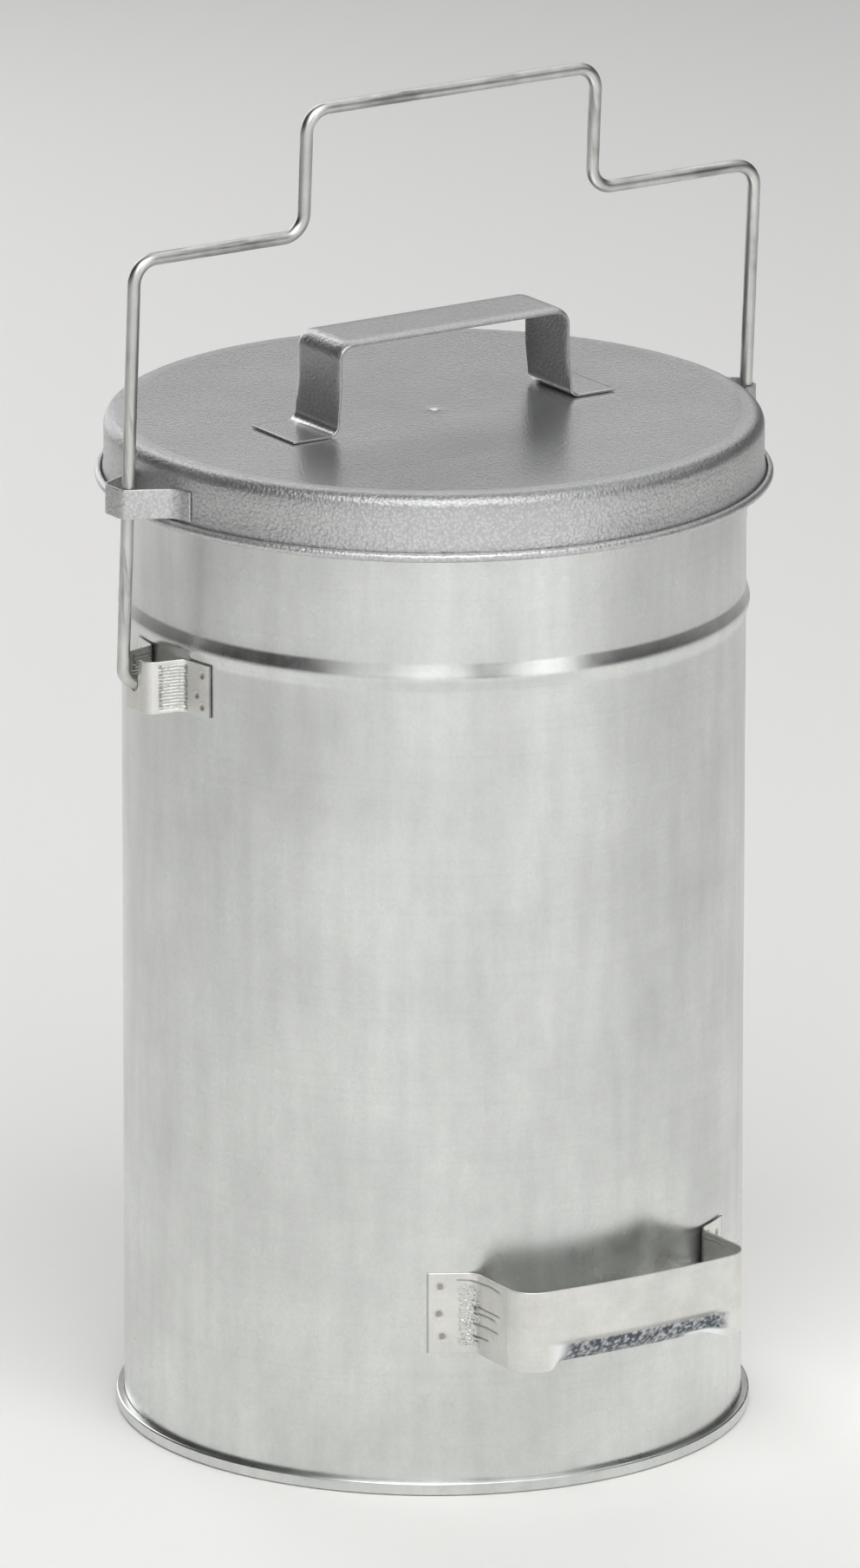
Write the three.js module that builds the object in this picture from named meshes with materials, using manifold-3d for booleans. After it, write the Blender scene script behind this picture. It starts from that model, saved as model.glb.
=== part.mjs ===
// Galvanized steel ash pail with a captive lid. Millimetres, +Z up. The pail stands on Z = 0, the
// ears of its wire bail are on the X axis and the tilting handle low on its wall faces -Y. The lid
// is shut and the bail leans on its keepers. The origin is under the middle of the overall size.
import * as THREE from 'three';
import { mergeVertices } from 'three/addons/utils/BufferGeometryUtils.js';
import Module from 'manifold-3d';

const wasm = await Module();
wasm.setup();

// ---- Driving dimensions ----------------------------------------------------------------------
const SHEET = 0.7; // galvanized sheet of the pail, the ears and the tilting handle
const LID_SHEET = 0.7;
const STRAP = 0.8; // painted strap of the lid's handle and keepers
const CLEAR = 0.3; // gap kept between pieces that are seamed, welded or wrapped together
const FLATS = 52; // flats round a full turn of the pail and the lid

const PAIL_RADIUS = 120;
const PAIL_HEIGHT = 396.2;
const RIM_WIRE = 3.0; // diameter of the stiffening wire rolled into the rim
const BEAD_DROP = 72.2; // from the rim down to the crest of the ring pressed outward below the lid
const BEAD_RISE = 6; // height of its slope over the crest
const BEAD_FALL = 5.4; // and under it
const BEAD_BULGE = 1.5;

const SEAM_HEIGHT = 5; // folded seam that holds the bottom to the wall
const SEAM_FOLD = 3.2; // how far the seam stands out from the wall
const FLOOR_LIFT = 5.5; // height of the bottom sheet above the ground

const LID_PLAY = 1.7; // radial play between the rim and the lid's skirt
const LID_DEPTH = 25.2;
const LID_SHOULDER = 5;
const LID_CURL = 3.5; // diameter of the rolled edge of the skirt

const EAR_DROP = 77; // from the rim down to the ear's top edge, close under the bead
const EAR_HEIGHT = 20.7;
const EAR_STANDOFF = 16;
const EAR_TAB_END = 25.6; // half widths along the wall, from the middle of the ear
const EAR_ROOT = 11.4;
const EAR_FACE = 8.9;
const EAR_BEND = 5; // bend radii of the middle of the sheet, at the face
const EAR_ROOT_BEND = 3.8; // and at the wall
const NOTCH_MOUTH = 7.6; // the bail's hole is open to the top edge through a tapered notch
const HOLE_PLAY = 0.3;

const BAIL_WIRE = 5;
const BAIL_OUTSIDE = 5; // from the ear's face out to the middle of the bail's leg
const BAIL_PIVOT_DROP = 10.1; // from the ear's top edge down to the hooks
const BAIL_HOOK_END = 9; // length of the hook inside the ear
const BAIL_SHOULDER = 168.5; // heights above the hooks, along the legs
const BAIL_TOP = 217.7;
const BAIL_NECK = 65.5; // half width of the raised middle
const BAIL_BEND = 9;
const BAIL_HOOK_BEND = 7.5;
const BAIL_SWAY = 4.54; // how far the leaning bail is off centre at the top edge of the keepers

const KEEPER_LOW = 4.4; // above the bottom of the lid's skirt
const KEEPER_HEIGHT = 11.6;
const KEEPER_FOOT_END = 23.3;
const KEEPER_ROOT = 15.5;
const KEEPER_TIP = 6.2;
const KEEPER_BEND = 4;
const KEEPER_ROOT_BEND = 8;
const KEEPER_PLAY = 1.1; // between the bail and the closed end of the keeper

const LID_HANDLE_LENGTH = 106.8;
const LID_HANDLE_HEIGHT = 36.5;
const LID_HANDLE_WIDTH = 30;
const LID_HANDLE_FOOT = 20;
const LID_HANDLE_BEND = 6.5;
const LID_HANDLE_FOOT_BEND = 4;
const LID_HANDLE_CROWN = 1.4; // how far the strap's long edges are turned in

const POUR_TOP = 88.7;
const POUR_HEIGHT = 31.9;
const POUR_STANDOFF = 26.3;
const POUR_SPAN = 105.3; // outside width of the front span
const POUR_BOW = 1.8; // how far the front span bulges between its corners
const POUR_CORNER = 11;
const POUR_ROOT_BEND = 6;
const POUR_DRAFT = 0.7; // how far each flank leans in toward the wall
const POUR_TAB = 18.2; // length of each tab along the wall
const LIP_HEIGHT = 10.2; // lower edge of the front span, rolled in for the fingers
const LIP_RADIUS = 13;
const LIP_LAYERS = 5; // layers of the strap that follow the roll
const LIP_RUNOUT = 7; // length over which the roll fades out at each end

const SPOT_RADIUS = 1.4; // dimple left by a spot weld
const SPOT_DEPTH = 0.25;
const SPOT_INSET = 4.8; // from the end of a tab to the middle of its welds

// ---- Places worked out from them ---------------------------------------------------------------
const rimRoll = RIM_WIRE / 2 + CLEAR + SHEET; // outside radius of the rolled rim
const rimCenter = new THREE.Vector2(PAIL_RADIUS - SHEET + rimRoll, PAIL_HEIGHT - rimRoll);
const beadCrest = PAIL_HEIGHT - BEAD_DROP;
const beadTop = beadCrest + BEAD_RISE;
const beadFoot = beadCrest - BEAD_FALL;
const lidTop = PAIL_HEIGHT + CLEAR + LID_SHEET;
const lidBottom = lidTop - LID_DEPTH;
const skirtRadius = rimCenter.x + rimRoll + LID_PLAY + LID_SHEET;
const curlCenter = new THREE.Vector2(skirtRadius + LID_CURL / 2, lidBottom + LID_CURL / 2);
const earFace = PAIL_RADIUS + EAR_STANDOFF;
const earTop = PAIL_HEIGHT - EAR_DROP;
const bailHalf = earFace + BAIL_OUTSIDE;
const pivotHeight = earTop - BAIL_PIVOT_DROP;
const keeperBottom = lidBottom + KEEPER_LOW;
const bailLean = Math.asin(BAIL_SWAY / (keeperBottom + KEEPER_HEIGHT - pivotHeight));
const pourReach = PAIL_RADIUS + POUR_STANDOFF;
const middle = (pourReach - curlCenter.x - LID_CURL / 2) / 2; // shifts the model over its origin

// ---- Materials -----------------------------------------------------------------------------------
const finish = (color, roughness, metalness) =>
  new THREE.MeshStandardMaterial({ color, roughness, metalness });
const galvanized = () => finish(0xc3c6c4, 0.42, 0.85);
const brightWire = () => finish(0xb4b5b0, 0.4, 0.85);
const hammertone = () => finish(0x9c9c9a, 0.38, 0.6);

// ---- Outlines ------------------------------------------------------------------------------------
const toRadians = THREE.MathUtils.degToRad;

// Points along an arc, both ends included; angles in degrees.
function arc(x, y, radius, from, to, steps) {
  return Array.from({ length: steps + 1 }, (_, i) => {
    const angle = toRadians(from + ((to - from) * i) / steps);
    return new THREE.Vector2(x + radius * Math.cos(angle), y + radius * Math.sin(angle));
  });
}

// The corners of a closed round outline.
function ring(x, y, radius, sides) {
  return arc(x, y, radius, 0, 360 - 360 / sides, sides - 1);
}

// A route whose corners [x, y, radius] are rounded where they give a radius.
function rounded(corners, steps = 4) {
  return corners.flatMap(([x, y, radius], i) => {
    const corner = new THREE.Vector2(x, y);
    if (!radius) return [corner];
    const [back, on] = [corners[i - 1], corners[i + 1]].map(([ax, ay]) =>
      new THREE.Vector2(ax, ay).sub(corner).normalize());
    const half = Math.acos(THREE.MathUtils.clamp(back.dot(on), -1, 1)) / 2;
    const center = back.clone().add(on).setLength(radius / Math.sin(half)).add(corner);
    const foot = (way) => way.clone().multiplyScalar(radius / Math.tan(half)).add(corner);
    const angleTo = (point) => THREE.MathUtils.radToDeg(point.sub(center).angle());
    const from = angleTo(foot(back));
    const turn = THREE.MathUtils.euclideanModulo(angleTo(foot(on)) - from + 180, 360) - 180;
    return arc(center.x, center.y, radius, from, from + turn, steps);
  });
}

// The closed outline of sheet metal seen on edge, from the middle line of the sheet.
function sheetOutline(route, thickness) {
  const side = (sign) => route.map((point, i) => {
    const before = route[Math.max(i - 1, 0)];
    const after = route[Math.min(i + 1, route.length - 1)];
    const arriving = point.clone().sub(before).normalize();
    const leaving = after.clone().sub(point).normalize();
    const along = arriving.clone().add(leaving).normalize();
    const reach = (sign * thickness) / 2 / Math.max(along.dot(arriving), along.dot(leaving));
    return new THREE.Vector2(point.x - along.y * reach, point.y + along.x * reach);
  });
  return [...side(1), ...side(-1).reverse()];
}

// ---- Solids --------------------------------------------------------------------------------------
// Joins the points that faces share, so that the surface is closed.
function welded(geometry) {
  geometry.deleteAttribute('normal');
  geometry.deleteAttribute('uv');
  const closed = mergeVertices(geometry, 1e-4);
  closed.computeVertexNormals();
  return closed;
}

// Spins an outline given as (radius, height) about the Z axis.
function spun(outline) {
  const points = THREE.ShapeUtils.isClockWise(outline) ? outline.slice().reverse() : outline;
  if (points.every((point) => point.x > 0)) points.push(points[0].clone());
  return welded(new THREE.LatheGeometry(points, FLATS).rotateX(Math.PI / 2));
}

// Raises a flat outline along Z, from the given height.
function raised(outline, bottom, height, steps = 1) {
  const options = { depth: height, steps, bevelEnabled: false };
  return welded(new THREE.ExtrudeGeometry(new THREE.Shape(outline), options).translate(0, 0, bottom));
}

function toManifold(geometry) {
  const { position } = geometry.attributes;
  return new wasm.Manifold(new wasm.Mesh({
    numProp: 3,
    vertProperties: new Float32Array(position.array),
    triVerts: new Uint32Array(geometry.index.array),
  }));
}

// Takes the cutters away from a solid.
function cut(geometry, cutters) {
  const solid = cutters.reduce((rest, cutter) => rest.subtract(toManifold(cutter)), toManifold(geometry));
  const mesh = solid.getMesh();
  const result = new THREE.BufferGeometry();
  result.setAttribute('position', new THREE.BufferAttribute(mesh.vertProperties, 3));
  result.setIndex(new THREE.BufferAttribute(mesh.triVerts, 1));
  result.computeVertexNormals();
  return result;
}

function piece(name, geometry, material) {
  const mesh = new THREE.Mesh(geometry, material);
  mesh.name = name;
  return mesh;
}

// ---- The pail ------------------------------------------------------------------------------------
// Half a cosine wave up to the crest of the bead and a longer one back down to the wall.
function beadBulge(height) {
  const end = height > beadCrest ? beadTop : beadFoot;
  return (BEAD_BULGE * (1 + Math.cos((Math.PI * (height - beadCrest)) / (end - beadCrest)))) / 2;
}

const seamFace = PAIL_RADIUS + SEAM_FOLD; // outside of the seam
const wallMiddle = PAIL_RADIUS - SHEET / 2;

// The wall: hooked outward into the bottom seam, beaded, and rolled outward round the rim wire.
function bodyShell() {
  const hook = seamFace - SHEET - CLEAR - SHEET / 2;
  const hookBottom = SHEET + CLEAR + SHEET / 2;
  const rise = [0, 1 / 3, 2 / 3].map((part) => THREE.MathUtils.lerp(beadFoot, beadCrest, part));
  const fall = [0, 1 / 3, 2 / 3, 1].map((part) => THREE.MathUtils.lerp(beadCrest, beadTop, part));
  const bead = [...rise, ...fall].map((height) =>
    new THREE.Vector2(wallMiddle + beadBulge(height), height));
  const route = [
    new THREE.Vector2(hook, SEAM_HEIGHT - SHEET - CLEAR),
    new THREE.Vector2(hook, hookBottom),
    new THREE.Vector2(wallMiddle, hookBottom),
    ...bead,
    ...arc(rimCenter.x, rimCenter.y, rimRoll - SHEET / 2, 180, -115, 9),
  ];
  return piece('body_shell', spun(sheetOutline(route, SHEET)), galvanized());
}

function rimWire() {
  const section = ring(rimCenter.x, rimCenter.y, RIM_WIRE / 2, 8);
  return piece('rim_wire', spun(section), brightWire());
}

// The bottom: dished up clear of the ground and folded round the hook of the wall.
function bottomPan() {
  const inside = PAIL_RADIUS - SHEET - CLEAR - SHEET / 2;
  const outside = seamFace - SHEET / 2;
  const ground = SHEET / 2;
  const route = rounded([
    [0, FLOOR_LIFT],
    [inside, FLOOR_LIFT, 1],
    [inside, ground],
    [outside, ground, 0.7],
    [outside, SEAM_HEIGHT - SHEET / 2],
    [PAIL_RADIUS + CLEAR, SEAM_HEIGHT - SHEET / 2],
  ], 2);
  return piece('bottom_pan', spun(sheetOutline(route, SHEET)), galvanized());
}

// ---- Straps welded to a round wall -----------------------------------------------------------------
// Middle line of a strap seen from above, with the wall's middle at the origin and the strap
// standing out along +Y. `shape` lists the corners of its right half from the front to the wall.
function strapRoute(wallRadius, tabEnd, root, rootBend, shape) {
  const onWall = (angle) => [wallRadius * Math.sin(angle), wallRadius * Math.cos(angle)];
  const foot = new THREE.Vector2(...onWall(root));
  const flank = foot.clone().sub(new THREE.Vector2(...shape.at(-1)));
  const turn = flank.angleTo(new THREE.Vector2(Math.cos(root), -Math.sin(root)));
  const rootGap = (1.15 * rootBend * Math.tan(turn / 2)) / wallRadius; // clear of the root bend
  const tab = [0, 0.5, 1].map((part) => onWall(tabEnd + (root + rootGap - tabEnd) * part));
  const right = [...shape, [...onWall(root), rootBend], ...tab.reverse()];
  const left = right.map(([x, y, radius]) => [-x, y, radius]).reverse();
  return rounded([...left, ...right]);
}

// Dimples of the spot welds on both tabs, at the given heights.
function weldSpots(faceRadius, angle, heights) {
  const ball = (SPOT_RADIUS ** 2 + SPOT_DEPTH ** 2) / (2 * SPOT_DEPTH);
  return [-angle, angle].flatMap((side) => heights.map((height) => {
    const dimple = new THREE.SphereGeometry(ball, 10, 18).rotateZ(-side);
    const distance = faceRadius + ball - SPOT_DEPTH;
    return welded(dimple.translate(distance * Math.sin(side), distance * Math.cos(side), height));
  }));
}

// Strap with a hole for the bail's hook; the hole is open to the top edge.
function ear(name, turn) {
  const wallRadius = PAIL_RADIUS + CLEAR + SHEET / 2;
  const tabEnd = Math.asin(EAR_TAB_END / wallRadius);
  const root = Math.asin(EAR_ROOT / wallRadius);
  const front = [EAR_FACE, earFace - SHEET / 2, EAR_BEND];
  const route = strapRoute(wallRadius, tabEnd, root, EAR_ROOT_BEND, [front]);
  const strap = raised(sheetOutline(route, SHEET), earTop - EAR_HEIGHT, EAR_HEIGHT);

  const hole = BAIL_WIRE / 2 + HOLE_PLAY;
  const notch = [
    new THREE.Vector2(-NOTCH_MOUTH / 2, earTop + 1),
    ...arc(0, pivotHeight, hole, 180, 360, 10),
    new THREE.Vector2(NOTCH_MOUTH / 2, earTop + 1),
  ];
  const depth = 4 * SHEET;
  const keyhole = new THREE.ExtrudeGeometry(new THREE.Shape(notch), { depth, bevelEnabled: false });
  keyhole.rotateX(Math.PI / 2).translate(0, earFace + SHEET, 0);

  const spotHeights = [-0.28, 0, 0.28].map((part) => earTop - EAR_HEIGHT * (0.5 - part));
  const spots = weldSpots(wallRadius + SHEET / 2, tabEnd - SPOT_INSET / wallRadius, spotHeights);
  const mesh = piece(name, cut(strap, [welded(keyhole), ...spots]), galvanized());
  mesh.rotation.z = turn;
  return mesh;
}

// The tilting handle. Its strap is raised in layers: one tall layer at the top and thin ones below
// it, which are rolled in along an arc on the front span. The roll fades out toward both corners.
function pourHandle() {
  const wallRadius = PAIL_RADIUS + CLEAR + SHEET / 2;
  const face = pourReach - SHEET / 2;
  const corner = POUR_SPAN / 2 - SHEET / 2;
  const rollEnd = POUR_SPAN / 2 - POUR_CORNER;
  const bowed = (x) => [x, face - POUR_BOW * (x / rollEnd) ** 2];
  const stops = [0, 0.25, 0.5, 0.75].map((part) => bowed(rollEnd - LIP_RUNOUT * (1 - part)));
  const cornerFace = face - POUR_BOW * ((2 * corner) / rollEnd - 1);
  const root = Math.asin((corner - POUR_DRAFT) / wallRadius);
  const tabEnd = root + POUR_TAB / wallRadius;
  const shape = [bowed(0.1), bowed(rollEnd / 2), ...stops, [corner, cornerFace, POUR_CORNER]];
  const route = strapRoute(wallRadius, tabEnd, root, POUR_ROOT_BEND, shape);
  const layer = LIP_HEIGHT / LIP_LAYERS;
  const bottom = POUR_TOP - POUR_HEIGHT;
  const lipTop = bottom + LIP_HEIGHT;
  const strap = raised(sheetOutline(route, SHEET), bottom, LIP_HEIGHT + layer, LIP_LAYERS + 1);

  const { position } = strap.attributes;
  for (let i = 0; i < position.count; i++) {
    const below = lipTop - position.getZ(i);
    if (below < -layer / 2) position.setZ(i, POUR_TOP);
    if (below <= 0) continue;
    const fade = THREE.MathUtils.smoothstep(rollEnd - Math.abs(position.getX(i)), 0, LIP_RUNOUT);
    const roll = below / LIP_RADIUS;
    position.setY(i, position.getY(i) - fade * LIP_RADIUS * (1 - Math.cos(roll)));
    position.setZ(i, position.getZ(i) + fade * (below - LIP_RADIUS * Math.sin(roll)));
  }

  const spotHeights = [0.22, 0.5, 0.78].map((part) => POUR_TOP - POUR_HEIGHT * part);
  const spots = weldSpots(wallRadius + SHEET / 2, tabEnd - SPOT_INSET / wallRadius, spotHeights);
  const mesh = piece('pour_handle', cut(strap, spots), galvanized());
  mesh.rotation.z = Math.PI;
  return mesh;
}

// ---- The lid -------------------------------------------------------------------------------------
// A pressed cap whose skirt ends in a small outward roll.
function lidShell() {
  const skirt = skirtRadius - LID_SHEET / 2;
  const top = lidTop - LID_SHEET / 2;
  const roll = (LID_CURL - LID_SHEET) / 2;
  const route = [
    ...rounded([[0, top], [skirt, top, LID_SHOULDER - LID_SHEET / 2], [skirt, curlCenter.y]]).slice(0, -1),
    new THREE.Vector2(skirt, curlCenter.y + LID_CURL),
    ...arc(curlCenter.x, curlCenter.y, roll, 165, 460, 8),
  ];
  return piece('lid_shell', spun(sheetOutline(route, LID_SHEET)), hammertone());
}

// A strap bent up from the lid. Its long edges are turned in toward the hand, except at the feet.
function lidHandle() {
  const half = (LID_HANDLE_LENGTH - STRAP) / 2;
  const foot = lidTop + CLEAR + STRAP / 2;
  const top = lidTop + LID_HANDLE_HEIGHT - STRAP / 2;
  const right = [[half, top, LID_HANDLE_BEND], [half, foot, LID_HANDLE_FOOT_BEND], [half + LID_HANDLE_FOOT, foot]];
  const left = right.map(([x, y, radius]) => [-x, y, radius]).reverse();
  const outline = sheetOutline(rounded([...left, ...right]), STRAP);
  const strap = raised(outline, -LID_HANDLE_WIDTH / 2, LID_HANDLE_WIDTH, 10).rotateX(Math.PI / 2);

  const { position } = strap.attributes;
  const inner = new THREE.Box2(
    new THREE.Vector2(LID_HANDLE_BEND - half, foot),
    new THREE.Vector2(half - LID_HANDLE_BEND, top - LID_HANDLE_BEND),
  );
  for (let i = 0; i < position.count; i++) {
    const point = new THREE.Vector2(position.getX(i), position.getZ(i));
    const inward = inner.clampPoint(point, new THREE.Vector2()).sub(point).normalize();
    const edge = Math.abs(position.getY(i)) / (LID_HANDLE_WIDTH / 2);
    const lift = THREE.MathUtils.smoothstep(point.y, foot + 4, foot + 12);
    inward.multiplyScalar(LID_HANDLE_CROWN * lift * edge ** 4);
    position.setX(i, point.x + inward.x);
    position.setZ(i, point.y + inward.y);
  }
  strap.computeVertexNormals();
  return piece('lid_handle', strap, hammertone());
}

// A loop of strap on the skirt that runs round one leg of the bail.
function keeper(name, turn) {
  const wallRadius = skirtRadius + CLEAR + STRAP / 2;
  const tip = bailHalf + BAIL_WIRE / 2 + KEEPER_PLAY + STRAP / 2;
  const tabEnd = Math.asin(KEEPER_FOOT_END / wallRadius);
  const root = Math.asin(KEEPER_ROOT / wallRadius);
  const route = strapRoute(wallRadius, tabEnd, root, KEEPER_ROOT_BEND, [[KEEPER_TIP, tip, KEEPER_BEND]]);
  const strap = raised(sheetOutline(route, STRAP), keeperBottom, KEEPER_HEIGHT);
  const mesh = piece(name, strap, hammertone());
  mesh.rotation.z = turn;
  return mesh;
}

// ---- The bail ------------------------------------------------------------------------------------
// A wire's middle line, given by its corners, that is stepped from point to point.
class BentWire extends THREE.Curve {
  constructor(points) {
    super();
    this.points = points;
  }

  getPointAt(part, target = new THREE.Vector3()) {
    return target.copy(this.points[Math.round(part * (this.points.length - 1))]);
  }

  getTangentAt(part, target = new THREE.Vector3()) {
    const at = Math.round(part * (this.points.length - 1));
    const before = this.points[Math.max(at - 1, 0)];
    const after = this.points[Math.min(at + 1, this.points.length - 1)];
    const middlePoint = this.points[at];
    const arriving = middlePoint.clone().sub(before).normalize();
    return target.copy(after).sub(middlePoint).normalize().add(arriving).normalize();
  }
}

// One wire: hooked inward through both ears, up the sides and over a raised middle.
function bail() {
  const hookEnd = earFace - BAIL_HOOK_END;
  const right = [
    [BAIL_NECK, BAIL_TOP, BAIL_BEND],
    [BAIL_NECK, BAIL_SHOULDER, BAIL_BEND],
    [bailHalf, BAIL_SHOULDER, BAIL_BEND],
    [bailHalf, 0, BAIL_HOOK_BEND],
    [hookEnd, 0],
  ];
  const left = right.map(([x, y, radius]) => [-x, y, radius]).reverse();
  const route = rounded([...left, ...right], 6).map((point) => new THREE.Vector3(point.x, 0, point.y));
  const section = new THREE.Shape(ring(0, 0, BAIL_WIRE / 2, 10));
  const options = { steps: route.length - 1, extrudePath: new BentWire(route), bevelEnabled: false };
  const mesh = piece('bail', welded(new THREE.ExtrudeGeometry(section, options)), brightWire());
  mesh.position.z = pivotHeight;
  mesh.rotation.x = bailLean;
  return mesh;
}

// ---- The whole object ----------------------------------------------------------------------------
const quarter = Math.PI / 2;
const pail = new THREE.Group();
pail.add(bodyShell(), rimWire(), bottomPan(), pourHandle());
pail.add(ear('bail_ear_left', quarter), ear('bail_ear_right', -quarter));

const lid = new THREE.Group();
lid.add(lidShell(), lidHandle());
lid.add(keeper('lid_keeper_left', quarter), keeper('lid_keeper_right', -quarter));

const ashPail = new THREE.Group();
ashPail.name = 'ash_pail';
ashPail.add(pail, lid, bail());
ashPail.position.y = middle;

export default ashPail;
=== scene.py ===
import math

import bmesh
import bpy
import numpy as np
from mathutils import Matrix, Vector, noise


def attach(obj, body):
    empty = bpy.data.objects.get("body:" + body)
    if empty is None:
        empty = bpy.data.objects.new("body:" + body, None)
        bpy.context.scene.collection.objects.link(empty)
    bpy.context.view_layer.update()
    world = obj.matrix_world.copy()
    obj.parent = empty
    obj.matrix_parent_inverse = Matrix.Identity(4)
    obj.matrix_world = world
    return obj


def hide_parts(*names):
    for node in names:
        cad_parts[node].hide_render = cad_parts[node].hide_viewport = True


# %% [markdown]
# # A galvanized ash pail with a captive lid
# The pail is folded from zinc-coated sheet. Its lid is painted with a hammered silver-grey paint
# and slides up and down the legs of a wire bail. The measured model gives every size and every
# moving body, so it is loaded first and all the finer pieces are built around it, in metres. A
# fresh scene could be built by eye instead, but then the hooks, keepers and rims would not meet.

# %% Load the measured model
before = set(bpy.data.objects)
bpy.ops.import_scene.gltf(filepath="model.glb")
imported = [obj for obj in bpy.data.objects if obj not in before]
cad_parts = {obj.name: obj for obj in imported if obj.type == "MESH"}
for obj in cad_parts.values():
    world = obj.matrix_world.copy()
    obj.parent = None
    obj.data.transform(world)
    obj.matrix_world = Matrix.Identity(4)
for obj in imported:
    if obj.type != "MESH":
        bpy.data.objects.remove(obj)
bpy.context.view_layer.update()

# %% [markdown]
# ## Working in millimetres
# Tinsmiths work in millimetres, so the sizes below are written that way and turned into metres
# when a mesh is made. The pail's axis stands a little behind the origin, because the tilting
# handle reaches forward and the origin is under the middle of the whole object.

# %% Units and the pail's axis
MM = 0.001
AXIS = Vector((0, 8.05, 0))
SHEET = 0.7    # thickness of the zinc-coated sheet
STRAP = 0.8    # thickness of the painted straps on the lid
WALL = 120.0   # outer radius of the wall
GAP = 0.3      # air between two layers that are pressed together


def smoothstep(value, start, end):
    """0 up to start, 1 from end on, and a smooth S between them."""
    part = np.clip((np.asarray(value, float) - start) / (end - start), 0, 1)
    return part * part * (3 - 2 * part)


def plateau(value, start, full, fading, end):
    """1 from full to fading, with soft flanks down to 0 at start and end."""
    return smoothstep(value, start, full) * (1 - smoothstep(value, fading, end))


print("axis at", AXIS * MM)

# %% [markdown]
# ## Bend lines
# Every piece here starts as a flat line that a folding machine would follow: straight runs with
# rounded corners. The corners could be bevelled on a finished mesh, but rounding the line first
# keeps each bend's radius exact and puts the mesh's points where the metal really curves.

# %% Arcs and rounded routes
def arc(x, y, radius, start, end, steps):
    """Points on an arc round (x, y), from one angle in degrees to another."""
    angles = np.radians(np.linspace(start, end, steps + 1))
    return [(x + radius * math.cos(a), y + radius * math.sin(a)) for a in angles]


def rounded(corners, steps=8):
    """A line with its corners rounded. Corners are (x, y) or (x, y, radius)."""
    route = []
    for i, corner in enumerate(corners):
        if len(corner) < 3:
            route.append(tuple(corner))
            continue
        here = Vector(corner[:2])
        back = (Vector(corners[i - 1][:2]) - here).normalized()
        on = (Vector(corners[i + 1][:2]) - here).normalized()
        half = back.angle(on) / 2
        centre = here + (back + on).normalized() * (corner[2] / math.sin(half))
        feet = [here + way * (corner[2] / math.tan(half)) - centre for way in (back, on)]
        start, end = [math.degrees(math.atan2(foot.y, foot.x)) for foot in feet]
        turn = (end - start + 180) % 360 - 180
        route += arc(centre.x, centre.y, corner[2], start, start + turn, steps)
    return route


bend = rounded([(0, 0), (9, 0, 3), (9, 9)], 2)
print("a right angle bend:", [tuple(round(v, 1) for v in point) for point in bend])

# %% Points at an even pace along a route
def paced(route, step):
    """Adds points so that no stretch is longer than step; corners stay where they are."""
    points = [np.array(route[0], float)]
    for target in route[1:]:
        target = np.array(target, float)
        pieces = max(1, math.ceil(np.linalg.norm(target - points[-1]) / step))
        start = points[-1]
        points += [start + (target - start) * k / pieces for k in range(1, pieces + 1)]
    return np.array(points)


def side_normals(points):
    """Unit normals to the left of a flat route."""
    ahead = np.diff(points, axis=0)
    ahead /= np.linalg.norm(ahead, axis=1)[:, None]
    before = np.vstack([ahead[:1], ahead])
    after = np.vstack([ahead, ahead[-1:]])
    along = before + after
    along /= np.linalg.norm(along, axis=1)[:, None]
    stretch = 1 / np.maximum(0.5, (along * before).sum(1))
    return np.column_stack([-along[:, 1], along[:, 0]]) * stretch[:, None]


print("normals of a straight run:", side_normals(paced([(0, 0), (3, 0)], 1))[0])

# %% [markdown]
# ## From points to a piece
# A piece is a mesh at the origin whose points are already in place. It rides on a body of the
# measured model, hides the node that it refines, and takes its finish from one of the finishes
# made below. Faces are shaded smooth, except where two of them meet at a clear edge.

# %% Make a piece
TOUCHING = 2e-7     # metres between points that count as one
CLEAR_EDGE = 40     # degrees between faces that meet at a visible edge


def merge_touching(mesh):
    """Joins points that lie on one another, which drops the faces without area between them."""
    joined = bmesh.new()
    joined.from_mesh(mesh)
    bmesh.ops.remove_doubles(joined, verts=joined.verts, dist=TOUCHING)
    joined.to_mesh(mesh)
    joined.free()


def make_piece(name, points, faces, material, node, body, marks=None):
    """marks gives named values at the points, which a finish can read."""
    mesh = bpy.data.meshes.new(name)
    placed = (np.asarray(points, float) + np.array(AXIS)) * MM
    mesh.from_pydata(placed.tolist(), [], faces)
    mesh.validate()
    for mark, values in (marks or {}).items():
        layer = mesh.attributes.new(mark, "FLOAT", "POINT")
        layer.data.foreach_set("value", np.asarray(values, np.float32))
    merge_touching(mesh)
    mesh.shade_smooth()
    mesh.set_sharp_from_angle(angle=math.radians(CLEAR_EDGE))
    mesh.materials.append(material)
    piece = bpy.data.objects.new(name, mesh)
    bpy.context.scene.collection.objects.link(piece)
    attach(piece, body)
    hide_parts(node)
    print(f"{name}: {len(mesh.polygons)} faces")
    return piece


def band_faces(rows, columns, closed=False):
    """Quads between rings of points that are stored one after another. A closed band also joins
    the last ring to the first."""
    faces = []
    for i in range(rows if closed else rows - 1):
        for j in range(columns):
            a, b = i * columns + j, i * columns + (j + 1) % columns
            below = (i + 1) % rows * columns
            faces.append((a, b, below + (j + 1) % columns, below + j))
    return faces


print("a band of 3 rings of 4 points:", len(band_faces(3, 4)), "faces")

# %% [markdown]
# ## Zinc-coated sheet
# Hot-dip galvanized sheet with a skin-passed, minimised spangle is a satin metal: cloudy patches
# a few centimetres wide, soft upright runs where the zinc drained, a fine grain, and faint
# scratches round the pail, the way it was rolled up. It could be an image, but noise at several
# scales follows the metal from every side. The clouds change both the colour and the roughness, as
# uneven zinc does.

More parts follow.
